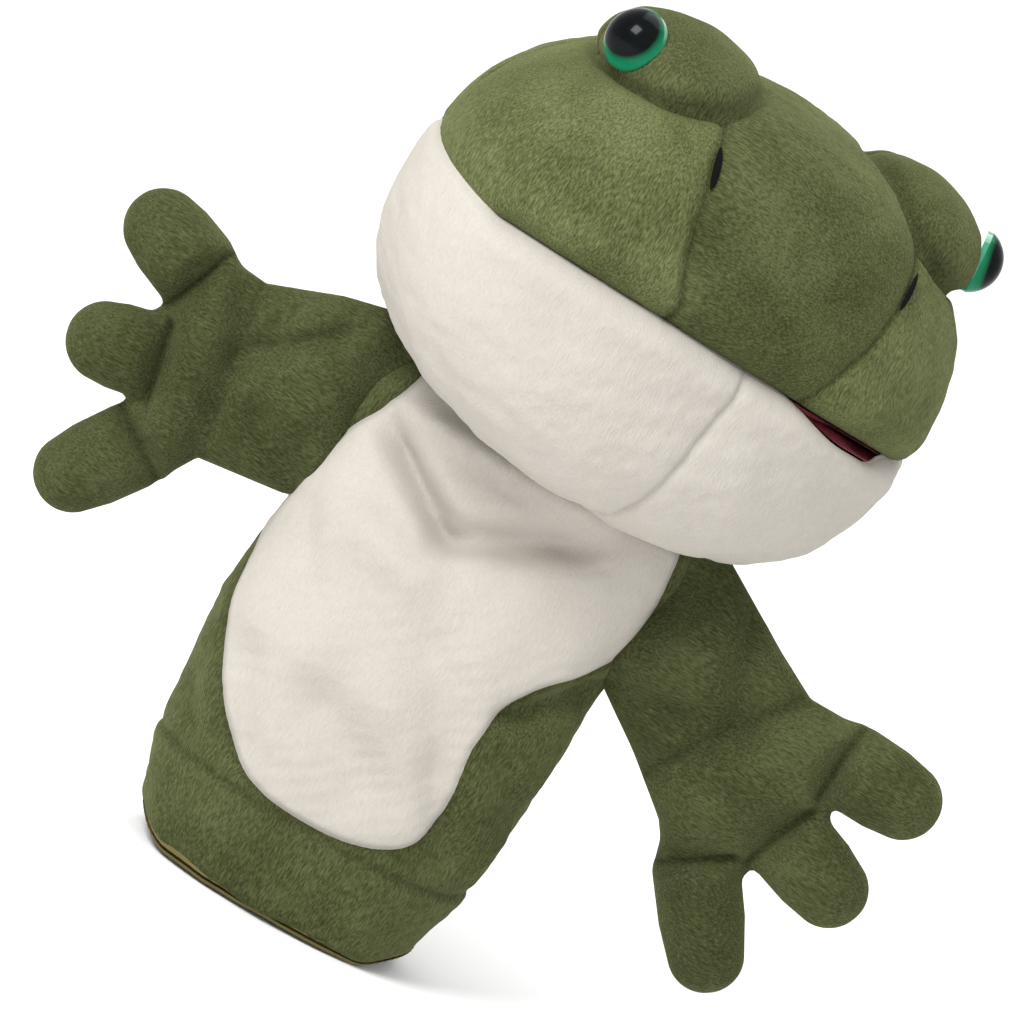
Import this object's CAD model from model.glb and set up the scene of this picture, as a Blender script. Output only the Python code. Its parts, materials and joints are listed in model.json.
import json
from math import asin, atan2, cos, pi, radians, sin, tan

import bpy
import numpy as np
from mathutils import Matrix, Vector

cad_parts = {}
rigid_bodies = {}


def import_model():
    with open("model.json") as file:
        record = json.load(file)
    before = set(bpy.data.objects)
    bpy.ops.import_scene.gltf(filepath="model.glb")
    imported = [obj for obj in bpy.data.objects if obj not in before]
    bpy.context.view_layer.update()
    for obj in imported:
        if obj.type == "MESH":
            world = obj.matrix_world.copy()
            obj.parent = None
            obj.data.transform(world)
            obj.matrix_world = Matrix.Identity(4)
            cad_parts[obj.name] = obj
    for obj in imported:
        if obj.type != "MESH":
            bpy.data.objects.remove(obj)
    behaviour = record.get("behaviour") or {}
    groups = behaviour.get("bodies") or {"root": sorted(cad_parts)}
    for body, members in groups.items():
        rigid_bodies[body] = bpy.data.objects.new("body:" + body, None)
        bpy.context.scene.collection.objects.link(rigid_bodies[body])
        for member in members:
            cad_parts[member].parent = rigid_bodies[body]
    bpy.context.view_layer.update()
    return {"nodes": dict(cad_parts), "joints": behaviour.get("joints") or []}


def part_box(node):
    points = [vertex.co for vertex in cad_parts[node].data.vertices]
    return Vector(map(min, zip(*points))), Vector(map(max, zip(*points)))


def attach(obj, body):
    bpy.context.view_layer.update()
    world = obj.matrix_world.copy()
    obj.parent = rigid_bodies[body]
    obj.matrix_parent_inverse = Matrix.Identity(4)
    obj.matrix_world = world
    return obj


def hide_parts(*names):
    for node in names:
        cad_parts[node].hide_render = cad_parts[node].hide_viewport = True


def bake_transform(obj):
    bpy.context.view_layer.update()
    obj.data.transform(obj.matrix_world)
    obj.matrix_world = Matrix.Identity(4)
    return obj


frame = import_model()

joints = {joint["name"]: joint for joint in frame["joints"]}
MM = 0.001


# ---- frames
def joint_place(name):
    """A joint's point, in millimetres, and its axis, a unit vector."""
    joint = joints[name]
    axis = np.array(joint["axis"], float)
    return np.array(joint["pos_m"], float) / MM, axis / np.linalg.norm(axis)


NECK, HEAD_ACROSS = joint_place("head_nod")
HINGE_WORLD, _ = joint_place("jaw_drop")
head_turn = atan2(HEAD_ACROSS[1], HEAD_ACROSS[0])
head_lean = asin(-HEAD_ACROSS[2])
TURNED = np.array(Matrix.Rotation(head_turn, 3, "Z") @ Matrix.Rotation(head_lean, 3, "Y"))
NECK_UP = np.array([0, 0, NECK[2]])


def to_head(points):
    """Row-frame millimetres to the head's own frame, which faces -Y with heights kept."""
    return (points - NECK) @ TURNED + NECK_UP


def from_head(points):
    """The head's own frame back to row-frame millimetres."""
    return (points - NECK_UP) @ TURNED.T + NECK


HINGE = to_head(HINGE_WORLD)


# ---- camera
ELEVATION = radians(10)
ROLL = radians(30)
DISTANCE = 1.58
LENS = 200.0
FRAME_X, FRAME_UP = 0.0053, 0.1228


def make_camera():
    """A long lens in front of the puppet, rolled so that the body leans to the right."""
    data = bpy.data.cameras.new("camera")
    data.lens = LENS
    camera = bpy.data.objects.new("camera", data)
    bpy.context.scene.collection.objects.link(camera)
    ahead = Vector((0, cos(ELEVATION), -sin(ELEVATION)))
    above = Vector((0, sin(ELEVATION), cos(ELEVATION)))
    aside = Vector((1, 0, 0))
    right = aside * cos(ROLL) + above * sin(ROLL)
    up = above * cos(ROLL) - aside * sin(ROLL)
    target = aside * FRAME_X + above * FRAME_UP
    place = target - ahead * DISTANCE
    turn = Matrix((right, up, -ahead)).transposed()
    camera.matrix_world = Matrix.Translation(place) @ turn.to_4x4()
    bpy.context.scene.camera = camera


make_camera()


# ---- mesh helpers
def smooth(value, low, high):
    """A smooth step from 0 at low to 1 at high."""
    t = np.clip((value - low) / (high - low), 0, 1)
    return t * t * (3 - 2 * t)


def bell(value, width):
    """A bell curve, 1 at 0."""
    return np.exp(-((value / width) ** 2))


def waves(points, size, seed, octaves=3):
    """Smooth, repeatable noise about 0, from sine waves in random directions."""
    dice = np.random.default_rng(seed)
    total = np.zeros(len(points))
    scale, height = size, 1.0
    for _ in range(octaves):
        for _ in range(6):
            direction = dice.normal(size=3)
            direction /= np.linalg.norm(direction)
            phase = dice.uniform(0, 2 * pi)
            total += height * np.sin(points @ direction * 2 * pi / scale + phase)
        scale, height = scale * 0.5, height * 0.55
    return total / 6


def cube_sphere(count):
    """Directions spread over a sphere on six square grids, and their faces."""
    line = np.tan(np.linspace(-pi / 4, pi / 4, count + 1))
    a, b = np.meshgrid(line, line, indexing="ij")
    one = np.ones_like(a)
    sides = [(a, b, one), (b, a, -one), (one, a, b), (-one, b, a), (b, one, a), (a, -one, b)]
    points, faces, step = [], [], (count + 1) ** 2
    i, j = np.meshgrid(np.arange(count), np.arange(count), indexing="ij")
    corner = (i * (count + 1) + j).ravel()
    quads = np.stack([corner, corner + count + 1, corner + count + 2, corner + 1], 1)
    for number, side in enumerate(sides):
        points.append(np.stack([part.ravel() for part in side], 1))
        faces.append(quads + number * step)
    points, faces = np.concatenate(points), np.concatenate(faces)
    points /= np.linalg.norm(points, axis=1)[:, None]
    _, first, same = np.unique(np.round(points, 6), axis=0, return_index=True, return_inverse=True)
    return points[first], [tuple(face) for face in same.ravel()[faces].tolist()]


def grid(columns, rows, closed=False):
    """Faces of a grid of points stored row by row; closed joins the last column to the first."""
    faces = []
    for row in range(rows - 1):
        for column in range(columns if closed else columns - 1):
            following = (column + 1) % columns
            faces.append((row * columns + column, row * columns + following,
                          (row + 1) * columns + following, (row + 1) * columns + column))
    return faces


def cut(points, faces, values):
    """Splits faces along the line where values is zero, and gives the new points and faces."""
    values = np.where(np.abs(values) < 1e-4, 0.0, values)
    sign = np.sign(values).astype(int).tolist()
    added, known, result = [], {}, []
    for face in faces:
        around = [sign[k] for k in face]
        if max(around) <= 0 or min(around) >= 0:
            result.append(face)
            continue
        low, high = [], []
        for k, following in zip(face, face[1:] + face[:1]):
            if sign[k] <= 0:
                low.append(k)
            if sign[k] >= 0:
                high.append(k)
            if sign[k] * sign[following] < 0:
                key = (min(k, following), max(k, following))
                if key not in known:
                    known[key] = len(points) + len(added)
                    share = values[k] / (values[k] - values[following])
                    added.append(points[k] + (points[following] - points[k]) * share)
                low.append(known[key])
                high.append(known[key])
        result += [tuple(part) for part in (low, high) if len(part) > 2]
    if added:
        points = np.concatenate([points, np.array(added)])
    return points, result


def centres(values, faces):
    """The mean over each face of a value at its points."""
    return np.array([values[list(face)].mean() for face in faces])


def picked(faces, chosen):
    """The faces whose flag is set."""
    return [face for face, keep in zip(faces, chosen.tolist()) if keep]


def build(name, points, faces, body=None, material=None, slot=None, replaces=(), normals=None, **attributes):
    """Makes one visible mesh from millimetre points; each attribute is one value per point."""
    used = np.unique(np.concatenate([np.array(face) for face in faces]))
    renumber = {old: new for new, old in enumerate(used.tolist())}
    mesh = bpy.data.meshes.new(name)
    mesh.from_pydata((points[used] * MM).tolist(), [], [[renumber[k] for k in face] for face in faces])
    mesh.validate()
    for key, values in attributes.items():
        values = np.asarray(values, float)[used]
        mesh.attributes.new(key, "FLOAT", "POINT").data.foreach_set("value", values)
    mesh.shade_smooth()
    if normals is not None:
        mesh.normals_split_custom_set_from_vertices(normals[used].tolist())
    piece = bpy.data.objects.new(name, mesh)
    bpy.context.scene.collection.objects.link(piece)
    if material is not None:
        mesh.materials.append(material)
    if body:
        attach(piece, body)
    if replaces:
        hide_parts(*replaces)
    return piece


def normals_of(points, faces):
    """Unit normals at the points of a mesh."""
    normal = np.zeros_like(points)
    triangles = np.array([(f[0], f[k], f[k + 1]) for f in faces for k in range(1, len(f) - 1)])
    a, b, c = points[triangles[:, 0]], points[triangles[:, 1]], points[triangles[:, 2]]
    cross = np.cross(b - a, c - a)
    for corner in range(3):
        np.add.at(normal, triangles[:, corner], cross)
    return normal / (np.linalg.norm(normal, axis=1)[:, None] + 1e-12)


# ---- materials
def new_material(name):
    """A node material, its tree and its Principled shader."""
    material = bpy.data.materials.new(name)
    material.use_nodes = True
    tree = material.node_tree
    shader = tree.nodes["Principled BSDF"]
    return material, tree, shader


def link(tree, source, target):
    """Joins two sockets."""
    tree.links.new(source, target)


def put(node, **values):
    """Sets a node's sockets; a space in a socket's name is written as an underscore."""
    for name, value in values.items():
        node.inputs[name.replace("_", " ")].default_value = value


def noise(tree, scale, detail=4, stretch=(1, 1, 1), slope=0.0):
    """A noise texture in object space, in metres, stretched along axes sloped about Y."""
    where = tree.nodes.new("ShaderNodeTexCoord")
    mapping = tree.nodes.new("ShaderNodeMapping")
    put(mapping, Scale=stretch, Rotation=(0, slope, 0))
    texture = tree.nodes.new("ShaderNodeTexNoise")
    put(texture, Scale=scale, Detail=detail)
    link(tree, where.outputs["Object"], mapping.inputs["Vector"])
    link(tree, mapping.outputs["Vector"], texture.inputs["Vector"])
    return texture.outputs["Fac"]


def ramp(tree, source, colours):
    """A colour ramp over a value, from (place, colour) stops."""
    node = tree.nodes.new("ShaderNodeValToRGB")
    stops = node.color_ramp.elements
    while len(stops) < len(colours):
        stops.new(0.5)
    for stop, (place, colour) in zip(stops, colours):
        stop.position = place
        stop.color = (*colour, 1)
    link(tree, source, node.inputs["Fac"])
    return node.outputs["Color"]


def multiply(tree, colour, value):
    """A colour times a grey value."""
    node = tree.nodes.new("ShaderNodeVectorMath")
    node.operation = "MULTIPLY"
    link(tree, colour, node.inputs[0])
    link(tree, value, node.inputs[1])
    return node.outputs["Vector"]


def attribute(tree, name):
    """A value stored on the mesh."""
    node = tree.nodes.new("ShaderNodeAttribute")
    node.attribute_name = name
    return node.outputs["Fac"]


def bumps(tree, shader, height, distance, strength=1.0):
    """Fine relief from a height."""
    bump = tree.nodes.new("ShaderNodeBump")
    put(bump, Distance=distance, Strength=strength)
    link(tree, height, bump.inputs["Height"])
    link(tree, bump.outputs["Normal"], shader.inputs["Normal"])


# Colours are linear, as ramp stops. Scales are in waves per metre.
GREEN = [(0.38, (0.033, 0.038, 0.014)), (0.5, (0.062, 0.070, 0.027)), (0.615, (0.099, 0.111, 0.049))]
CREAM = [(0.32, (0.401, 0.371, 0.329)), (0.5, (0.438, 0.408, 0.366)), (0.68, (0.468, 0.441, 0.401))]
LINING = [(0.3, (0.42, 0.11, 0.14)), (0.5, (0.55, 0.16, 0.20)), (0.7, (0.65, 0.22, 0.27))]
GREEN_SHEEN = (0.30, 0.34, 0.16, 1)
CREAM_SHEEN = (1, 0.95, 0.88, 1)
STREAKS, TUFTS, PATCHES = 2100, 3600, 48


def maths(tree, operation, *values):
    """One maths node over sockets and numbers."""
    node = tree.nodes.new("ShaderNodeMath")
    node.operation = operation
    for number, value in enumerate(values):
        if isinstance(value, (int, float)):
            node.inputs[number].default_value = value
        else:
            link(tree, value, node.inputs[number])
    return node.outputs[0]


def mix_values(tree, parts):
    """A weighted sum of grey values."""
    total = 0
    for source, weight in parts:
        total = maths(tree, "MULTIPLY_ADD", source, weight, total)
    return total


def plush_material(name, colours, sheen, grain, slope=0.0, relief=0.0008):
    """Brushed pile: streaks along the grain, fine tufts, brushed patches and darker seams."""
    material, tree, shader = new_material(name)
    streaks = noise(tree, STREAKS, 2, grain, slope)
    tufts = noise(tree, TUFTS, 2)
    patches = noise(tree, PATCHES, 3)
    tone = mix_values(tree, [(streaks, 0.52), (tufts, 0.22), (patches, 0.26)])
    colour = ramp(tree, tone, colours)
    link(tree, multiply(tree, colour, attribute(tree, "shade")), shader.inputs["Base Color"])
    put(shader, Roughness=0.95, Specular_IOR_Level=0.05, Sheen_Weight=sheen, Sheen_Roughness=0.35,
        Sheen_Tint=GREEN_SHEEN if colours is GREEN else CREAM_SHEEN)
    height = mix_values(tree, [(streaks, 0.75), (tufts, 0.25)])
    bumps(tree, shader, height, relief, 0.9)
    return material


def cloth_material(name, colours, scale, depth, sheen=0.2):
    """Plain woven or knitted cloth, with its threads as fine crossed waves."""
    material, tree, shader = new_material(name)
    where = tree.nodes.new("ShaderNodeTexCoord")
    threads = []
    for axis in ("X", "Z"):
        wave = tree.nodes.new("ShaderNodeTexWave")
        wave.bands_direction = axis
        put(wave, Scale=scale, Distortion=0.6)
        link(tree, where.outputs["Object"], wave.inputs["Vector"])
        threads.append(wave.outputs["Fac"])
    height = maths(tree, "MAXIMUM", *threads)
    colour = ramp(tree, noise(tree, 120, 4), colours)
    link(tree, colour, shader.inputs["Base Color"])
    put(shader, Roughness=0.9, Specular_IOR_Level=0.06, Sheen_Weight=sheen)
    bumps(tree, shader, height, depth, 0.6)
    return material


def plastic_material(name, colours, roughness, coat=0.0):
    """Moulded plastic with a faint unevenness."""
    material, tree, shader = new_material(name)
    grain = noise(tree, 300, 3)
    link(tree, ramp(tree, grain, colours), shader.inputs["Base Color"])
    put(shader, Roughness=roughness, Coat_Weight=coat, Coat_Roughness=0.05)
    bumps(tree, shader, grain, 0.00002, 0.15)
    return material


def eye_material():
    """Polished acrylic over a black pupil and a green ring."""
    material, tree, shader = new_material("eye_gloss")
    rings = [(0.0, (0.002, 0.002, 0.003)), (0.80, (0.002, 0.004, 0.004)), (0.83, (0.003, 0.045, 0.020)),
             (0.90, (0.004, 0.13, 0.055)), (1.0, (0.008, 0.20, 0.095))]
    link(tree, ramp(tree, attribute(tree, "ring"), rings), shader.inputs["Base Color"])
    put(shader, Roughness=0.2, Specular_IOR_Level=0.04, Coat_Weight=0.10, Coat_Roughness=0.04)
    return material


DOWNWARD = (1, 1, 0.22)  # pile brushed down
ACROSS = (0.22, 1, 1)  # pile brushed sideways
green_plush = plush_material("green_plush", GREEN, 0.4, DOWNWARD)
forehead_plush = plush_material("forehead_plush", GREEN, 0.4, ACROSS, radians(-16))
arm_plush = {
    "right": plush_material("arm_plush_right", GREEN, 0.4, ACROSS, radians(-10)),
    "left": plush_material("arm_plush_left", GREEN, 0.4, ACROSS, radians(34)),
}
cream_plush = plush_material("cream_plush", CREAM, 0.05, DOWNWARD, 0.0, 0.0003)
mouth_cloth = cloth_material("mouth_lining", LINING, 500, 0.0003, 0.0)
binding_cloth = cloth_material(
    "binding", [(0, (0.12, 0.10, 0.035)), (1, (0.19, 0.16, 0.065))], 600, 0.0003, 0.0)
pocket_cloth = cloth_material(
    "pocket_lining", [(0, (0.30, 0.28, 0.20)), (1, (0.45, 0.42, 0.32))], 500, 0.0003)
filling_cloth = cloth_material("filling", [(0, (0.75, 0.75, 0.74)), (1, (0.9, 0.9, 0.9))], 90, 0.002, 0.5)
black_thread = cloth_material(
    "black_thread", [(0, (0.003, 0.003, 0.003)), (1, (0.008, 0.008, 0.009))], 900, 0.0002, 0.0)
fixing = plastic_material("eye_fixing", [(0, (0.80, 0.80, 0.78)), (1, (0.88, 0.88, 0.86))], 0.4)
pupil = plastic_material("eye_pupil", [(0, (0.003, 0.003, 0.004)), (1, (0.006, 0.006, 0.008))], 0.12, 1.0)
iris = plastic_material("eye_iris", [(0, (0.012, 0.13, 0.055)), (1, (0.02, 0.30, 0.16))], 0.22, 1.0)
eye_gloss = eye_material()


# ---- head shape
# In millimetres, in the head's own frame. "SQUARE" and "POWER" say how boxy a form is: 2 is round.
HEAD_MIDDLE = np.array([0.0, -11.0, 201.0])
HEAD_HALF_WIDTH = 82.5
HEAD_HALF_DEPTH = 58.0
HEAD_UP, HEAD_DOWN = 62.3, 62.3
HEAD_SQUARE = 2.3
UP_POWER, DOWN_POWER = 2.05, 2.6
MOUTH_RISE = tan(radians(5))
CORNER_Y = -43.0  # the corners of the mouth
GUSSET_RISE = 0.17  # slope of the seam behind a corner
BACK_SEAM_Y = 7.0  # the seam before the back of the head, above the gusset seam
CREAM_BACK_Y = 18.0  # and below it
NECK_HOLE = (40.0, 19.5)
LIP_DEPTH = 6.0  # how far the skin turns in at a lip
LIP_DROP = 4.2  # how far the parted lower lip hangs
UPPER_LIP, LOWER_LIP = 9.0, 7.0
BROW_AT = np.array([38.0, -20.5, 248.5])
BROW_RADII = np.array([25.0, 27.0, 17.0])
BROW_SEAM_Y = -14.0
EYE_OUT, EYE_UP = radians(65), radians(8)
EYE_RADIUS = 9.0
HEAD_CELLS = 116
BROW_SCALE = 22.0  # millimetres per unit of brow_size, near its edge
HEAD_SCALE = 60.0  # and of head_size
GREEN_TONE = 1.4  # brightness of the cheeks and the back beside the forehead


def box_middle(node_name):
    """The middle of a CAD node, in the head's frame."""
    low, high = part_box(node_name)
    return to_head((np.array(low) + np.array(high)) / 2 / MM)


def eye_axis(side):
    """Where one eye's base is in the head's frame, and the way that it looks."""
    middle = box_middle("eye_pupil_left" if side > 0 else "eye_pupil_right")
    looks = np.array([side * sin(EYE_OUT) * cos(EYE_UP), -cos(EYE_OUT) * cos(EYE_UP), sin(EYE_UP)])
    return middle, looks


def fuller(z):
    """How much deeper than wide the head stays towards its top and its chin."""
    rise = np.clip((z - HEAD_MIDDLE[2]) / HEAD_UP, 0, 0.9)
    fall = np.clip((HEAD_MIDDLE[2] - z) / HEAD_DOWN, 0, 0.9)
    top = (1 - rise**3.0) ** (1 / 3.0) / (1 - rise**UP_POWER) ** (1 / UP_POWER)
    return top * (1 - fall**3.8) ** (1 / 3.8) / (1 - fall**DOWN_POWER) ** (1 / DOWN_POWER)


def head_size(offset):
    """1 on the plain head form, less inside, from places about the head's middle."""
    across, along, tall = np.abs(offset.T)
    up = offset[:, 2] > 0
    reach = np.where(up, HEAD_UP, HEAD_DOWN)
    power = np.where(up, UP_POWER, DOWN_POWER)
    level = (across / HEAD_HALF_WIDTH) ** HEAD_SQUARE + (along / HEAD_HALF_DEPTH) ** HEAD_SQUARE
    return (level ** (power / HEAD_SQUARE) + (tall / reach) ** power) ** (1 / power)


def head_form(cells, size=1.0):
    """The plain head form, or a smaller one inside it: points and faces."""
    directions, faces = cube_sphere(cells)
    points = HEAD_MIDDLE + size * directions / head_size(directions)[:, None]
    points[:, 1] = HEAD_MIDDLE[1] + (points[:, 1] - HEAD_MIDDLE[1]) * fuller(points[:, 2])
    return points, faces


def head_front(x, z):
    """The y of the plain head form's face at one x and z."""
    tall = abs(z - HEAD_MIDDLE[2]) / (HEAD_UP if z > HEAD_MIDDLE[2] else HEAD_DOWN)
    power = UP_POWER if z > HEAD_MIDDLE[2] else DOWN_POWER
    level = (1 - tall**power) ** (HEAD_SQUARE / power) - (abs(x) / HEAD_HALF_WIDTH) ** HEAD_SQUARE
    return HEAD_MIDDLE[1] - HEAD_HALF_DEPTH * level ** (1 / HEAD_SQUARE) * fuller(z)


def lip_line(p):
    """Height above the mouth line, and above the gusset seam behind its corners."""
    y = p[:, 1]
    ahead = HINGE[2] + (HINGE[1] - y) * MOUTH_RISE
    corner = HINGE[2] + (HINGE[1] - CORNER_Y) * MOUTH_RISE
    behind = corner + GUSSET_RISE * (y - CORNER_Y)
    return p[:, 2] - np.where(y < CORNER_Y, ahead, behind)


def forehead_edge(p):
    """Distance outside the seams beside the forehead panel."""
    half = np.interp(p[:, 2], [203, 212, 222, 238], [24, 28.5, 32, 35])
    return np.abs(p[:, 0]) - half


def chin_seam(p):
    """Distance to the left of the seam down the chin."""
    return p[:, 0] - (1.6 + (p[:, 2] - 146) * 0.05)


def neck_hole(p):
    """Negative inside the hole for the neck, in millimetres from its edge."""
    size = np.sqrt((p[:, 0] / NECK_HOLE[0]) ** 2 + (p[:, 1] / NECK_HOLE[1]) ** 2)
    return np.where(p[:, 2] < HEAD_MIDDLE[2] - 30, (size - 1) * 25, 50)


def brow_size(p, side):
    """1 on a brow mound's form, less inside it."""
    offset = (p - BROW_AT * np.array([side, 1, 1])) / BROW_RADII
    return np.linalg.norm(offset, axis=1)


def seat_eye(p, side):
    """Presses the pile down under an eye and gathers it round the edge."""
    middle, looks = eye_axis(side)
    offset = p - middle
    ahead = offset @ looks
    across = np.linalg.norm(offset - ahead[:, None] * looks, axis=1)
    rings = [0, EYE_RADIUS - 0.6, EYE_RADIUS + 0.6, EYE_RADIUS + 6]
    limit = np.interp(across, rings, [-2.2, -2.2, 0.9, 4.5])
    near = across < EYE_RADIUS + 6
    drop = np.where(near, np.minimum(limit - ahead, 0), 0)
    return p + drop[:, None] * looks


def swell(distance, depth, width, puff, reach):
    """A stitched seam: sunk at the thread, with the cloth swelling away from it."""
    return -depth * bell(distance, width) - puff * np.exp(-np.abs(distance) / reach)


def lips_parted(p):
    """1 where the lower lip hangs a little open, near the left corner of the mouth."""
    return smooth(p[:, 0], 16, 44) * smooth(-p[:, 0], -70, -54) * smooth(-p[:, 1], 34, 44)


def shape_head(p, normal, jaw):
    """The stuffed head from its plain form: seams, lips, eye seats and uneven filling."""
    line = lip_line(p)
    front = smooth(-p[:, 1], -CORNER_Y - 6, -CORNER_Y + 4)
    lip = LOWER_LIP if jaw else UPPER_LIP
    turn = np.clip(1 - np.abs(line) / lip, 0, 1)
    parted = lips_parted(p) if jaw else 0
    roll = LIP_DEPTH * (1 - 0.45 * parted) * (1 - np.sqrt(1 - turn**2)) - 1.1 * bell(np.abs(line) - lip, 5)
    move = -roll * front + (1 - front) * swell(line, 1.0, 1.3, 1.2, 7) * (p[:, 1] < CREAM_BACK_Y + 4)
    above = smooth(line, -1, 1)
    fore = forehead_edge(p)
    ahead = 1 - smooth(p[:, 1], BACK_SEAM_Y - 2, BACK_SEAM_Y + 2)
    move += swell(fore, 0.9, 1.2, 1.3, 6) * above * ahead
    move += swell(p[:, 1] - BACK_SEAM_Y, 0.9, 1.3, 1.5, 8) * above
    move += swell(p[:, 1] - CREAM_BACK_Y, 0.9, 1.3, 1.2, 7) * (1 - above)
    move += swell(chin_seam(p), 0.8, 1.2, 1.4, 8) * (1 - above) * ahead
    move += swell(neck_hole(p), 2.2, 3.0, 1.5, 8)
    for side in (1, -1):
        move += swell((brow_size(p, side) - 1) * BROW_SCALE, 1.6, 1.8, 0.8, 5)
    move += 1.0 * waves(p, 75, 21) + 0.35 * waves(p, 17, 22, 2)
    move += 0.16 * waves(p, 4.5, 26, 1)
    low = smooth(-p[:, 2], -178, -150)
    move += 0.9 * low * waves(p * np.array([1, 1, 2.2]), 34, 23)
    shaped = p + normal * move[:, None]
    if jaw:
        shaped[:, 2] -= LIP_DROP * parted * np.exp(line / 6)
    for side in (1, -1):
        shaped = seat_eye(shaped, side)
    return shaped


def head_shade(p):
    """Darker pile down in the seams."""
    above = smooth(lip_line(p), -1, 1)
    dark = 0.30 * bell(forehead_edge(p), 1.3) * above * (p[:, 1] < BACK_SEAM_Y)
    dark += 0.30 * bell(p[:, 1] - BACK_SEAM_Y, 1.4) * above
    dark += 0.12 * bell(chin_seam(p), 1.0) * (1 - above)
    for side in (1, -1):
        dark += 0.25 * bell((brow_size(p, side) - 1) * BROW_SCALE, 1.8)
    return np.clip(1 - dark, 0.4, 1)


def move_with(piece, first, second, start, end):
    """Bends a piece between two bodies, from one row-frame point to another."""
    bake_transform(piece)


def make_head_skins():
    """The forehead, cheeks, back and jaw, cut from one stuffed form along their seams."""
    points, faces = head_form(HEAD_CELLS)
    fields = [lip_line, lambda p: lip_line(p) - 0.4, lambda p: lip_line(p) + 0.4, forehead_edge,
              lambda p: p[:, 1] - BACK_SEAM_Y, lambda p: p[:, 1] - CREAM_BACK_Y, chin_seam, neck_hole]
    for field in fields:
        points, faces = cut(points, faces, field(points))
    normal = normals_of(points, faces)
    line, edge, chin, neck = (centres(field(points), faces)
                              for field in (lip_line, forehead_edge, chin_seam, neck_hole))
    x, y = centres(points[:, 0], faces), centres(points[:, 1], faces)
    cream = (line < 0) & (y < CREAM_BACK_Y)
    back = ~cream & (y > np.where(line < 0, CREAM_BACK_Y, BACK_SEAM_Y))
    fore = ~cream & ~back & (edge < 0)
    cheek = ~cream & ~back & ~fore
    upper, lower = shape_head(points, normal, False), shape_head(points, normal, True)
    upper_normal, lower_normal = normals_of(upper, faces), normals_of(lower, faces)
    shade = head_shade(points)
    green, cream_slot = "green_plush", "cream_plush"
    parts = [
        ("forehead_plush", fore, upper, green, ["forehead_panel"], "head", 1.0),
        ("cheek_plush_right", cheek & (x < 0), upper, green, ["cheek_panel_right"], "head", GREEN_TONE),
        ("cheek_plush_left", cheek & (x > 0), upper, green, ["cheek_panel_left"], "head", GREEN_TONE),
        ("head_back_plush", back, upper, green, ["head_back_panel"], "head", GREEN_TONE),
        ("jaw_plush_right", cream & (chin < 0), lower, cream_slot, ["jaw_panel_right"], None, 1),
        ("jaw_plush_left", cream & (chin > 0), lower, cream_slot, ["jaw_panel_left"], None, 1),
    ]
    for name, chosen, shaped, slot, nodes, body, tone in parts:
        own = picked(faces, chosen & (neck >= 0))
        lie = upper_normal if slot == green else lower_normal
        material = green_plush if slot == green else cream_plush
        if name == "forehead_plush":
            material = forehead_plush
        piece = build(name, from_head(shaped), own, body, material, slot, nodes,
                      lie @ TURNED.T, shade=shade * tone)
        if body is None:
            move_with(piece, "head", "jaw", *from_head(np.array([[0, -38, 194], [0, -60, 184]])))


make_head_skins()


def make_fillings():
    """The fibre filling of the head and of the jaw, inside their skins."""
    points, faces = head_form(40, 0.9)
    above = lip_line(points)
    lumps = 0.8 * waves(points, 14, 130)
    for name, level, sign, body in (("head", 7.0, 1, "head"), ("jaw", -7.0, -1, "jaw")):
        shaped = points.copy()
        shaped[:, 2] += sign * np.maximum(sign * (level - above), 0)
        shaped[:, 2] += lumps
        if sign < 0:
            shaped = HEAD_MIDDLE + (shaped - HEAD_MIDDLE) * np.array([0.9, 0.9, 0.92])
            shaped[:, 1] = np.minimum(shaped[:, 1], HINGE[1] - 8)
        build(f"{name}_filling", from_head(shaped), faces, body, filling_cloth, "stuffing",
              [f"{name}_stuffing"])


make_fillings()


# ---- brows
def make_brows():
    """Two stuffed mounds over the eyes, each from a front and a back panel."""
    directions, faces = cube_sphere(56)
    for side, name in ((1, "left"), (-1, "right")):
        points = directions * BROW_RADII + BROW_AT * np.array([side, 1, 1])
        own_points, own_faces = cut(points, faces, points[:, 1] - BROW_SEAM_Y)
        normal = normals_of(own_points, own_faces)
        seam = own_points[:, 1] - BROW_SEAM_Y
        offset = own_points - HEAD_MIDDLE
        offset[:, 1] /= fuller(own_points[:, 2])
        size = head_size(offset)
        move = swell(seam, 1.0, 1.3, 1.6, 6) + 1.6 + 0.5 * waves(own_points, 26, 30 + side)
        move -= 1.5 * bell((size - 1) * HEAD_SCALE, 2.2)
        shaped = seat_eye(own_points + normal * move[:, None], side)
        shade = np.clip(1 - 0.3 * bell(seam, 1.4) - 0.25 * bell((size - 1) * HEAD_SCALE, 2.2), 0.4, 1)
        lie = normals_of(shaped, own_faces) @ TURNED.T
        behind = centres(seam, own_faces) > 0
        outside = centres(size, own_faces) > 0.86
        for part, chosen in (("front", ~behind & outside), ("back", behind & outside)):
            own = picked(own_faces, chosen)
            piece = build(f"brow_{part}_plush_{name}", from_head(shaped), own, "head", green_plush,
                          "green_plush", [f"brow_{part}_{name}"], lie, shade=shade)


make_brows()


# ---- eyes
EYE_HEIGHT = 6.5
PUPIL_SHIFT = (0.5, 0.9)  # out and up, so that the ring is thicker below


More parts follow.
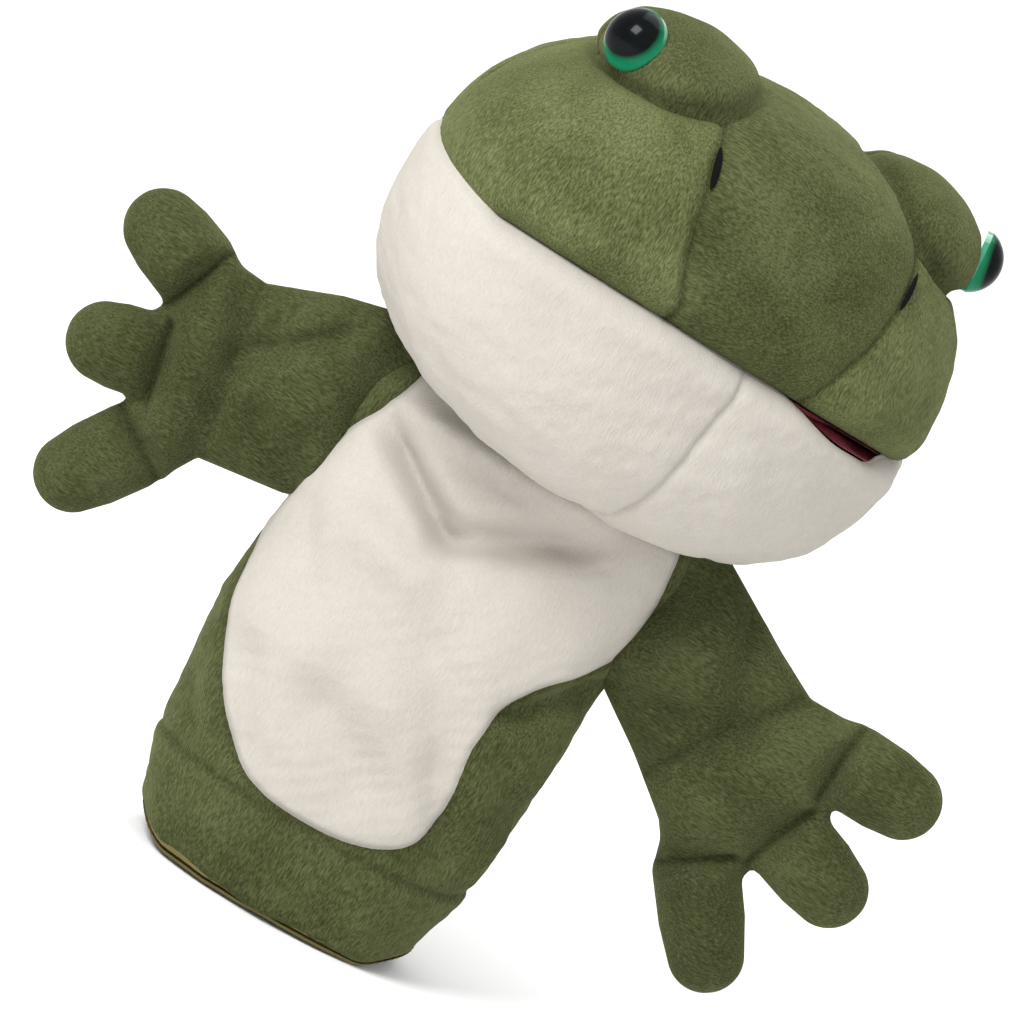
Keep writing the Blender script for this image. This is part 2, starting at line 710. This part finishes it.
def make_eyes():
    """Polished domes, each with a black pupil in a green ring."""
    turns, rings = 72, 28
    for side, name in ((1, "left"), (-1, "right")):
        middle, looks = eye_axis(side)
        up = np.array([0, 0, 1.0]) - looks[2] * looks
        up /= np.linalg.norm(up)
        out = np.cross(up, looks) * -side
        ball = (EYE_RADIUS**2 + EYE_HEIGHT**2) / (2 * EYE_HEIGHT)
        share = np.sin(np.linspace(0.01, pi / 2, rings))
        angle = np.linspace(0, 2 * pi, turns, endpoint=False)
        across = np.outer(EYE_RADIUS * share, np.cos(angle)).ravel()
        tall = np.outer(EYE_RADIUS * share, np.sin(angle)).ravel()
        dome = np.sqrt(ball**2 - across**2 - tall**2) - (ball - EYE_HEIGHT)
        points = middle + np.outer(across, out) + np.outer(tall, up) + np.outer(dome + 0.3, looks)
        ring = np.hypot(across - PUPIL_SHIFT[0], tall - PUPIL_SHIFT[1]) / EYE_RADIUS
        build(f"eye_dome_{name}", from_head(points), grid(turns, rings, closed=True), "head", eye_gloss,
              "eye_lens", [f"eye_lens_{name}"], ring=ring)


make_eyes()


# ---- nostrils
NOSTRIL_HALF = (0.95, 5.2)  # half its width and half its height
NOSTRIL_LEAN = 0.7  # how far its ends lean in and out
SATIN_STITCHES = 13


def make_nostrils():
    """Satin-stitched slits on the forehead seams."""
    rows, columns = 41, 13
    for side, name in ((1, "left"), (-1, "right")):
        x, _, z = box_middle(f"nostril_{name}")
        lengths, widths = np.linspace(-1, 1, rows), np.linspace(-1, 1, columns)
        along_t, across_t = np.meshgrid(lengths, widths, indexing="ij")
        half_width = NOSTRIL_HALF[0] * np.sqrt(np.clip(1 - along_t**2, 0.01, 1))
        height = 1.3 * np.sqrt(np.clip(1 - across_t**2, 0, 1)) * np.sqrt(np.clip(1 - along_t**2, 0.02, 1))
        height = height * (0.86 + 0.14 * np.cos(along_t * SATIN_STITCHES * pi)) - 0.9
        xs = x + side * NOSTRIL_LEAN * along_t + across_t * half_width
        zs = z + NOSTRIL_HALF[1] * along_t
        face_at = np.vectorize(head_front)(xs, zs)
        points = np.stack([xs.ravel(), (face_at - height - 0.2).ravel(), zs.ravel()], 1)
        build(f"nostril_stitches_{name}", from_head(points), grid(columns, rows), "head", black_thread,
              "embroidery", [f"nostril_{name}"])


make_nostrils()


# ---- mouth
LINING_IN = 5.2  # how far inside the head form the lining's rim lies


def make_mouth():
    """The palate and the mouth floor, two sheets sewn to the lips and bent with the jaw."""
    turns, steps = 97, 33
    angle = np.linspace(0, pi, turns)
    half = 2 / HEAD_SQUARE
    rim_x = (HEAD_HALF_WIDTH - LINING_IN) * np.sign(np.cos(angle)) * np.abs(np.cos(angle)) ** half
    rim_depth = HEAD_HALF_DEPTH - LINING_IN - HEAD_MIDDLE[1] + HINGE[1]
    rim_y = HINGE[1] - rim_depth * np.abs(np.sin(angle)) ** half
    share = np.linspace(1, 0.04, steps)
    x = share[:, None] * rim_x[None, :]
    y = HINGE[1] + share[:, None] * (rim_y - HINGE[1])[None, :]
    x, y = x.ravel(), y.ravel()
    rows = np.repeat(share, turns)
    reach = 1 + 0.045 * lips_parted(np.stack([x, y, x * 0], 1)) * smooth(rows, 0.7, 1.0)
    x, y = x * reach, HINGE[1] + (y - HINGE[1]) * reach
    base = HINGE[2] + (HINGE[1] - y) * MOUTH_RISE
    flat = np.stack([x, y, base], 1)
    gap = lips_parted(flat)
    for name, sign, node, body in (("palate_cloth", 1, "palate_lining", "head"),
                                   ("mouth_floor_cloth", -1, "mouth_floor_lining", None)):
        level = 0.45 if sign > 0 else -1.0
        lift = level * smooth(1 - rows, 0, 0.12)
        lift += 0.25 * waves(flat, 22, 60 + sign, 2) * smooth(1 - rows, 0, 0.2)
        if sign < 0:
            lift -= (LIP_DROP - 0.8) * gap * smooth(rows, 0.8, 1.0)
        points = np.stack([x, y, base + lift], 1)
        piece = build(name, from_head(points), grid(turns, steps), body, mouth_cloth, "mouth_lining",
                      [node])
        if body is None:
            move_with(piece, "head", "jaw", *from_head(np.array([[0, -12, 193], [0, -30, 191]])))


make_mouth()


# ---- torso
# height, half width, half depth, centre x, centre y
TUBE = np.array([
    (-1.0, 42.0, 29.0, -1.0, 0.0),
    (1.0, 43.5, 30.5, -1.0, 0.0),
    (13.0, 46.5, 33.0, -1.0, 0.0),
    (26.0, 49.0, 34.5, -1.0, 0.0),
    (40.0, 51.0, 35.5, -1.0, 0.0),
    (67.0, 53.0, 36.5, -1.0, 0.0),
    (90.0, 52.5, 34.5, 0.0, 1.0),
    (108.0, 52.0, 31.5, 1.5, 2.0),
    (120.0, 52.5, 28.5, 3.0, 3.0),
    (130.0, 53.0, 27.0, 4.0, 4.0),
    (138.0, 52.0, 25.0, 4.0, 4.5),
    (146.0, 47.0, 22.0, 4.0, 5.0),
    (152.0, 41.0, 18.5, 4.0, 5.0),
])
TUBE_SQUARE = 2.25
HEM_TOP = 26.0


def rounded(outline):
    """A closed outline with its corners cut off twice."""
    for _ in range(2):
        ahead = np.roll(outline, -1, axis=0)
        near, far = 0.75 * outline + 0.25 * ahead, 0.25 * outline + 0.75 * ahead
        outline = np.stack([near, far], 1).reshape(-1, 2)
    return outline


TUMMY = rounded(np.array([
    (-4, 27.5), (-17, 28.5), (-28, 33), (-36.5, 41.6), (-44, 52), (-50, 65.6), (-52.6, 80), (-52.8, 93),
    (-51.8, 105), (-48.6, 117), (-42, 132), (-34, 147), (-32, 170), (48, 170), (50, 147), (53, 130),
    (54, 113), (51.5, 104), (46, 97), (38, 92), (33, 85), (29.6, 76), (29, 67), (31, 55), (32, 46),
    (29, 37), (20, 30.5), (8, 27.6),
], float))
# folds in the body's front and back: start and end in x and z, width, depth
FRONT_FOLDS = [
    ((-36, 131), (-6, 115), 4.0, 9.0), ((-6, 115), (28, 131), 5.0, 7.0), ((-30, 138), (24, 138), 4.0, -2.5),
    ((32, 79), (57, 98), 4.5, 5.5), ((-46, 100), (-28, 78), 6.5, 3.4), ((-18, 62), (14, 42), 9.0, 3.8),
    ((2, 92), (26, 62), 8.0, 3.0), ((-40, 62), (-26, 34), 6.0, 2.8), ((22, 60), (38, 34), 5.5, 3.4),
    ((-32, 106), (-4, 101), 6.5, -2.8), ((-52, 46), (-40, 30), 5.0, 2.6), ((36, 70), (50, 52), 4.5, 2.6),
    ((-30, 92), (4, 84), 8.0, 2.0),
]
BACK_FOLDS = [((-40, 110), (-8, 84), 7, 2.6), ((40, 112), (12, 88), 7, 2.6),
              ((-30, 60), (20, 42), 10, 2.4), ((0, 120), (4, 80), 6, 1.6)]


def outline_distance(x, z, outline):
    """Distance to a closed outline, negative inside it."""
    nearest = np.full(x.shape, 1e9)
    inside = np.zeros(x.shape, bool)
    for (ax, az), (bx, bz) in zip(outline, np.roll(outline, -1, axis=0)):
        span = (bx - ax) ** 2 + (bz - az) ** 2
        share = np.clip(((x - ax) * (bx - ax) + (z - az) * (bz - az)) / span, 0, 1)
        nearest = np.minimum(nearest, np.hypot(x - ax - share * (bx - ax), z - az - share * (bz - az)))
        if az != bz:
            crosses = ((az > z) != (bz > z)) & (x < (bx - ax) * (z - az) / (bz - az) + ax)
            inside ^= crosses
    return np.where(inside, -nearest, nearest)


def tube_points(angle, height):
    """Points round the body tube; angle 0 is +X and a quarter turn back from it is the front."""
    wide, deep, centre_x, centre_y = (np.interp(height, TUBE[:, 0], TUBE[:, k]) for k in (1, 2, 3, 4))
    power = 2 / TUBE_SQUARE
    across = np.sign(np.cos(angle)) * np.abs(np.cos(angle)) ** power
    along = np.sign(np.sin(angle)) * np.abs(np.sin(angle)) ** power
    return np.stack([centre_x + wide * across, centre_y + deep * along, height], 1)


def tube(columns, heights):
    """The plain body tube as a closed grid: points and faces."""
    angle, height = np.meshgrid(np.linspace(0, 2 * pi, columns, endpoint=False), heights)
    return tube_points(angle.ravel(), height.ravel()), grid(columns, len(heights), closed=True)


def fold(p, start, end, width):
    """A bell across a line from start to end in x and z, fading at its ends."""
    (ax, az), (bx, bz) = start, end
    length = np.hypot(bx - ax, bz - az)
    along = ((p[:, 0] - ax) * (bx - ax) + (p[:, 2] - az) * (bz - az)) / length
    off = ((p[:, 0] - ax) * (bz - az) - (p[:, 2] - az) * (bx - ax)) / length
    ends = smooth(along, -0.25 * length, 0.2 * length) * smooth(-along, -1.25 * length, -0.8 * length)
    return bell(off, width) * ends


def tummy_edge(p):
    """Distance outside the tummy patch, on the front of the body."""
    edge = outline_distance(p[:, 0], p[:, 2], TUMMY)
    return np.where(p[:, 1] < 2, edge, np.maximum(edge, 0) + (p[:, 1] - 2))


def side_seam(p):
    """Behind the seam between the sides and the back where positive."""
    lap = 15.0 * smooth(p[:, 0], 10, 30) * smooth(-p[:, 2], -100, -82) * smooth(p[:, 2], 20, 34)
    return p[:, 1] - 3.0 + lap


def drape(p, normal, jacket=0.0):
    """The slack cloth of the body: hem, seams, folds and dents."""
    front = smooth(-p[:, 1], -2, 12)
    z = p[:, 2]
    move = 0.4 * smooth(-z, -HEM_TOP - 1.0, -HEM_TOP + 2.0) - 0.9 * bell(z - HEM_TOP, 1.4)
    above_hem = smooth(z, HEM_TOP, HEM_TOP + 2)
    move += swell(tummy_edge(p), 0.7, 1.1, 1.0, 6) * above_hem * front
    seam = side_seam(p)
    lap = smooth(p[:, 0], 10, 30) * smooth(-z, -98, -84) * smooth(z, 26, 40)
    move += swell(seam, 0.8, 1.2, 1.0, 6) * above_hem
    move += lap * np.where(seam < 0, 2.6 * np.exp(seam / 9), -2.6 * np.exp(-seam / 12))
    for folds, share in ((FRONT_FOLDS, front), (BACK_FOLDS, 1 - front)):
        for start, end, width, depth in folds:
            move -= depth * fold(p, start, end, width) * share
    move += 1.5 * waves(p * np.array([1, 1, 0.7]), 62, 70)
    move += 0.35 * waves(p, 18, 74, 2) + 0.16 * waves(p, 4.5, 79, 1)
    shaped = p + normal * (move - jacket)[:, None]
    curl = smooth(np.abs(p[:, 0] + 1), 30, 46) * smooth(-z, -26, -2)
    shaped[:, 2] += 6.0 * curl + 0.9 * waves(p * np.array([1, 1, 0]), 50, 77) * smooth(-z, -14, 0)
    return shaped


# band: name, bottom, top, and the two bodies between which it bends
BANDS = [("torso", 0.0, 130.0, None, None), ("neck_low", 130.0, 134.0, "torso", "neck_lower"),
         ("neck_mid", 134.0, 138.0, "neck_lower", "neck_upper"),
         ("neck_high", 138.0, 151.0, "neck_upper", "head")]


def make_body():
    """The body tube up to the neck, cut along its seams, and the hem."""
    columns, step = ((320, 0.72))
    levels = [0.0, HEM_TOP] + [top for _, _, top, _, _ in BANDS]
    spans = [np.linspace(low, top, int((top - low) / step) + 1) for low, top in zip(levels, levels[1:])]
    heights = np.unique(np.concatenate(spans))           # a row of points at each edge of a band
    points, faces = tube(columns, heights)
    fields = [lambda p: p[:, 2] - HEM_TOP, tummy_edge, side_seam]
    fields += [lambda p, top=top: p[:, 2] - top for _, _, top, _, _ in BANDS[:3]]
    for field in fields:
        points, faces = cut(points, faces, field(points))
    normal = normals_of(points, faces)
    shaped = drape(points, normal)
    lie = normals_of(shaped, faces)
    z, x = centres(points[:, 2], faces), centres(points[:, 0], faces)
    cream = (centres(tummy_edge(points), faces) < 0) & (z > HEM_TOP)
    back = centres(side_seam(points), faces) > 0
    hem = z < HEM_TOP
    shade = np.clip(1 - 0.22 * bell(tummy_edge(points), 1.2) * (points[:, 2] > HEM_TOP)
                    - 0.3 * bell(points[:, 2] - HEM_TOP, 1.3) - 0.25 * bell(side_seam(points), 1.4), 0.4, 1)
    replaced = {"torso_tummy": "tummy_panel", "torso_side_right": "side_panel_right",
                "torso_side_left": "side_panel_left", "torso_back": "back_panel",
                "neck_low_back": "neck_sleeve_lower", "neck_high_back": "neck_sleeve_upper"}
    kinds = {"tummy": cream, "side_right": ~cream & ~back & (x < 0), "side_left": ~cream & ~back & (x > 0),
             "back": ~cream & back}
    for band, low, top, first, second in BANDS:
        for kind, chosen in kinds.items():
            own = picked(faces, chosen & (z > low) & (z < top) & ~hem)
            if not own:
                continue
            slot = "cream_plush" if kind == "tummy" else "green_plush"
            material = cream_plush if kind == "tummy" else green_plush
            node = replaced.get(f"{band}_{kind}")
            piece = build(f"{band}_{kind}_plush", shaped, own, None if first else "torso", material, slot,
                          [node] if node else (), lie, shade=shade)
            if first:
                end = NECK + np.array([0, 0, 4.0]) if second == "head" else np.array([4, 4.5, top - 0.3])
                move_with(piece, first, second, (4, 4.5, low + 0.3), end)
    build("hem_plush", shaped, picked(faces, hem), "torso", green_plush, "green_plush", ["hem_band"], lie,
          shade=shade)


make_body()


LINING_GAP = 3.2  # how far inside the body's skin its lining lies


def make_inside():
    """The lining inside the body, and the binding round the hem's lower edge."""
    plain, faces = tube(160, np.linspace(0.5, 118, 60))
    inner = drape(plain, normals_of(plain, faces), LINING_GAP)
    build("body_lining", inner, faces, "torso", pocket_cloth, "pocket_lining")
    turns, round_count = 240, 14
    angle, small = np.meshgrid(np.linspace(0, 2 * pi, turns, endpoint=False),
                               np.linspace(0, 2 * pi, round_count, endpoint=False))
    angle, small = angle.ravel(), small.ravel()
    edge = tube_points(angle, np.full(angle.shape, 0.4))
    centre = drape(edge, np.zeros_like(edge))
    outward = edge - np.array([-1.0, 0, 0])
    outward[:, 2] = 0
    outward /= np.linalg.norm(outward, axis=1)[:, None]
    thick = 1.3 + 0.12 * np.cos(angle * 75)
    points = centre + outward * (thick * np.cos(small) - 1.2)[:, None]
    points[:, 2] += 1.9 * np.sin(small) - 0.6
    build("hem_binding_cloth", points, grid(turns, round_count), "torso", binding_cloth, "binding",
          ["hem_binding"])


make_inside()


# ---- arms
# Outlines are in the arm's own plane, in millimetres: out from the shoulder, and up.
SLEEVES = {
    "right": [(-30, -16), (-28, 10), (-20, 26), (-12, 31.5), (8, 30), (29, 26), (40, 29), (47, 24), (54, 9),
              (50, -4), (53.5, -19), (49, -28), (38, -34), (31, -26), (6, -27), (-14, -25)],
    "left": [(-32, -14), (-30, 6), (-24, 17), (-12, 22.5), (17, 24), (32, 25.5), (45, 34), (52, 28), (63, 15),
             (63, 2), (67.5, -12), (59, -23), (52, -30), (44, -27), (24, -25), (-16, -24)],
}
# finger: how far out and up its base is, direction in degrees, length
FINGERS = {
    "right": {"upper": (47, 22, 32, 27), "middle": (50, -4, -2, 26.5), "lower": (48, -28, -45, 31)},
    "left": {"upper": (52, 26, 31, 30), "middle": (63, 2, 14, 30.5), "lower": (59, -23, -20, 37.5)},
}
FINGER_HALF = 11.8
FINGERTIP_ROUND = 9.0
FINGER_TAPER = 0.80  # width of the tip against the middle
FINGER_ROOT = 6.0  # how far a finger's form reaches into the palm
FINGER_CUT = 4.0  # and where the finger's own piece starts
STUFFING = 9.6  # half the thickness of a stuffed hand
ROUND_IN = 15.0  # how far in from the edge seam the hand is full
WRIST = 30.0
ARM_TONE = 0.84  # the pile of the arms lies flat and looks darker
ARM_DENTS = [((0, 24), (24, 8), 3.5, 4.2), ((2, -22), (22, -6), 4.0, 4.0), ((20, 20), (30, 2), 3.5, 2.6),
             ((34, 12), (46, 4), 4.0, -1.2), ((34, -16), (46, -8), 4.0, 1.4)]
ARM_BANDS = [("shoulder", -40, 8, "torso", "shoulder"), ("arm", 8, 22, "shoulder", "arm"),
             ("wrist", 22, 38, "arm", "hand")]


def arm_frame(side):
    """Where an arm's shoulder is, and its directions out and up in the row frame."""
    shoulder, _ = joint_place(f"shoulder_raise_{side}")
    elbow, _ = joint_place(f"arm_swing_{side}")
    out = (elbow - shoulder) / np.linalg.norm(elbow - shoulder)
    up = np.array([-out[2], 0, out[0]]) * np.sign(out[0])
    return shoulder, out, up


def finger_place(p, finger):
    """Distance along a finger from its base, and distance outside its sides."""
    out, up, direction, length = finger
    turn = radians(direction)
    way = np.array([cos(turn), sin(turn)])
    offset = p[:, :2] - np.array([out, up])
    along = offset @ way
    off = np.abs(offset @ np.array([-way[1], way[0]]))
    middle, reach = (length - FINGER_ROOT) / 2, (length + FINGER_ROOT) / 2
    half = FINGER_HALF * np.interp(along, [0, 0.45 * length, length], [1.04, 1.02, FINGER_TAPER])
    beyond = np.stack([np.abs(along - middle) - reach, off - half], 1) + FINGERTIP_ROUND
    corner = np.linalg.norm(np.maximum(beyond, 0), axis=1) + np.minimum(beyond.max(axis=1), 0)
    return along, corner - FINGERTIP_ROUND


def arm_edge(p, side):
    """Distance outside the sewn edge of an arm, with soft inner corners."""
    total = outline_distance(p[:, 0], p[:, 1], np.array(SLEEVES[side], float))
    for finger in FINGERS[side].values():
        _, sides = finger_place(p, finger)
        mix = np.clip(0.5 + 0.5 * (sides - total) / 4.0, 0, 1)
        total = sides * (1 - mix) + total * mix - 4.0 * mix * (1 - mix)
    return total


def arm_panel(side):
    """An arm's flat panel, cut along its bands and its finger roots: points and faces."""
    step = 0.95
    u, w = np.arange(-33, 106, step), np.arange(-62, 58, step)
    grid_u, grid_w = np.meshgrid(u, w)
    points = np.stack([grid_u.ravel(), grid_w.ravel(), np.zeros(grid_u.size)], 1)
    faces = grid(len(u), len(w))
    faces = picked(faces, centres(arm_edge(points, side), faces) < 2)
    for level in (0.0, -0.25, -1.0):
        points, faces = cut(points, faces, arm_edge(points, side) - level)
    faces = picked(faces, centres(arm_edge(points, side), faces) < 0)
    for _, _, top, _, _ in ARM_BANDS:
        points, faces = cut(points, faces, points[:, 0] - top)
    for finger in FINGERS[side].values():
        along, sides = finger_place(points, finger)
        points, faces = cut(points, faces, np.where(sides < 3, along + FINGER_CUT, 9.0))
    return points, faces


def arm_fullness(points, side):
    """Half the thickness of a stuffed arm at each point, and how bright its pile is."""
    in_from_edge = -arm_edge(points, side)
    inside = np.clip(in_from_edge / ROUND_IN, 0, 1)
    full = (1 - (1 - inside) ** 2) ** 0.52
    u, w = points[:, 0], points[:, 1]
    thick = STUFFING + 3.5 * bell(u - 8, 11) + 2.2 * bell(u - 44, 10) - 6.0 * smooth(-u, 0, 14)
    crease = 0.34 * bell(u - WRIST - 0.0035 * w**2, 3.6)
    stitch = np.zeros(len(points))
    for finger in FINGERS[side].values():
        along, sides = finger_place(points, finger)
        near = smooth(-sides, -2.5, 0.5)
        root = (0.40 * bell(along + 1.0, 3.6) + 0.16 * bell(along + 1.0, 1.0)) * near
        crease = np.maximum(crease, root)
        stitch = np.maximum(stitch, bell(along + 1.0, 1.0) * (sides < 1.5))
        thick = thick + 1.4 * bell(along - 9, 8) * (sides < 0)
    pucker = 0.45 * np.sin(u * 1.1 + 2 * np.sin(w * 0.5)) * bell(in_from_edge - 3, 2.5)
    bag = 1.1 * waves(points, 30, 90 if side == "left" else 95) * inside + pucker
    upright = points[:, [0, 2, 1]]
    for start, end, width, depth in ARM_DENTS:
        bag = bag - depth * fold(upright, start, end, width)
    shades = ARM_TONE * np.clip(0.9733 - 0.35 * stitch - 0.2 * bell(u - WRIST, 1.4), 0.4, 1)
    return full * (thick + bag) * (1 - crease), shades


def finger_owners(points, faces, side):
    """For each face, the number of the finger that it belongs to, or -1."""
    owner, best = np.full(len(faces), -1), np.full(len(faces), 1e9)
    for number, finger in enumerate(FINGERS[side].values()):
        along, sides = finger_place(points, finger)
        along, sides = centres(along, faces), centres(sides, faces)
        mine = (along > -FINGER_CUT) & (sides < np.minimum(best, 2.5))
        owner[mine], best[mine] = number, sides[mine]
    owner[centres(points[:, 0], faces) < ARM_BANDS[-1][2]] = -1
    return owner


def make_arm(side):
    """A stuffed arm of a front and a back panel, quilted at the wrist and under each finger."""
    shoulder, out, up = arm_frame(side)
    points, faces = arm_panel(side)
    half, shades = arm_fullness(points, side)
    count = len(points)
    layers = []
    for way in (-1, 1):
        flat = points[:, :1] * out + points[:, 1:2] * up + (way * half)[:, None] * np.array([0, 1.0, 0])
        layers.append(shoulder + flat)
    world = np.concatenate(layers)
    mirrored = [tuple(k + count for k in face) for face in faces]
    if out[0] > 0:
        every = faces + [face[::-1] for face in mirrored]
    else:
        every = [face[::-1] for face in faces] + mirrored
    shade = np.concatenate([shades, shades])
    normal = normals_of(world, every)
    front = np.arange(len(every)) < len(faces)
    owner = np.tile(finger_owners(points, faces, side), 2)
    mid_u = np.tile(centres(points[:, 0], faces), 2)

    def piece_of(name, chosen, body, nodes):
        return build(name, world, picked(every, chosen), body, arm_plush[side], "green_plush", nodes,
                     normal, shade=shade)

    for name, low, top, first, second in ARM_BANDS:
        nodes = [f"{name}_sleeve_{side}"] if name != "wrist" else []
        chosen = (owner < 0) & (mid_u > low) & (mid_u < top)
        piece = piece_of(f"{name}_plush_{side}", chosen, None, nodes)
        first_body = first if first == "torso" else f"{first}_{side}"
        start = shoulder + out * (max(low, -7) + 1)
        move_with(piece, first_body, f"{second}_{side}", start, shoulder + out * (top - 1))
    palm = (owner < 0) & (mid_u > ARM_BANDS[-1][2])
    for face_name, chosen in (("front", palm & front), ("back", palm & ~front)):
        nodes = [f"palm_{face_name}_{side}"]
        piece = piece_of(f"palm_{face_name}_plush_{side}", chosen, f"hand_{side}", nodes)
    for number, (finger_name, finger) in enumerate(FINGERS[side].items()):
        nodes = [f"finger_{finger_name}_{side}"]
        piece = piece_of(f"finger_{finger_name}_plush_{side}", owner == number, None, nodes)
        turn = radians(finger[2])
        base = shoulder + out * finger[0] + up * finger[1]
        way = out * cos(turn) + up * sin(turn)
        move_with(piece, f"hand_{side}", f"finger_{finger_name}_{side}", base - way * 4, base + way * 5)


for arm_side in ("right", "left"):
    make_arm(arm_side)


# ---- carried-over parts
NODE_MATERIALS = {
    "eye_pupil": pupil, "eye_iris": iris, "eye_shank": fixing, "eye_washer": fixing,
    "finger_pocket": pocket_cloth, "thumb_pocket": pocket_cloth, "head_stuffing": filling_cloth,
    "jaw_stuffing": filling_cloth, "upper_mouth_plate": mouth_cloth, "lower_mouth_plate": mouth_cloth,
}
for node_name, node in frame["nodes"].items():
    for start, material in NODE_MATERIALS.items():
        if node_name.startswith(start):
            for solid in [node, *node.children_recursive]:
                if solid.type == "MESH":
                    for slot in solid.material_slots:
                        slot.material = material


# ---- surroundings
def make_floor():
    """A pale sweep: a floor that rises far behind the puppet."""
    material, tree, shader = new_material("pale_floor")
    tone = ramp(tree, noise(tree, 3, 2), [(0, (0.93, 0.93, 0.93)), (1, (0.95, 0.95, 0.95))])
    link(tree, tone, shader.inputs["Base Color"])
    put(shader, Roughness=0.9)
    xs = np.linspace(-3000, 3000, 9)
    profile = [(-3000, 0), (900, 0)]
    profile += [(900 + 900 * sin(t), 900 - 900 * cos(t)) for t in np.linspace(0.05, pi / 2, 16)]
    profile += [(1800, 3500)]
    points = np.array([(x, y, z - 3.0) for y, z in profile for x in xs])
    floor = build("floor", points, grid(len(xs), len(profile)), None, material)


LIT_POINT = Vector((0, 0, 0.15))


def area_light(name, place, size, power):
    """A soft square light that faces the puppet's chin."""
    data = bpy.data.lights.new(name, "AREA")
    data.size = size
    data.energy = power
    light = bpy.data.objects.new(name, data)
    bpy.context.scene.collection.objects.link(light)
    light.location = place
    light.rotation_euler = (LIT_POINT - Vector(place)).to_track_quat("-Z", "Y").to_euler()


make_floor()
area_light("key", (-0.7, -0.9, 1.1), 0.6, 22.8)
area_light("fill", (1.1, -0.7, 0.5), 1.0, 2.8)
area_light("top", (0.1, 0.4, 1.3), 1.0, 8.5)
world = bpy.data.worlds.new("studio")
world.use_nodes = True
put(world.node_tree.nodes["Background"], Color=(1, 1, 1, 1), Strength=0.76)
bpy.context.scene.world = world
bpy.context.scene.view_settings.view_transform = "Standard"
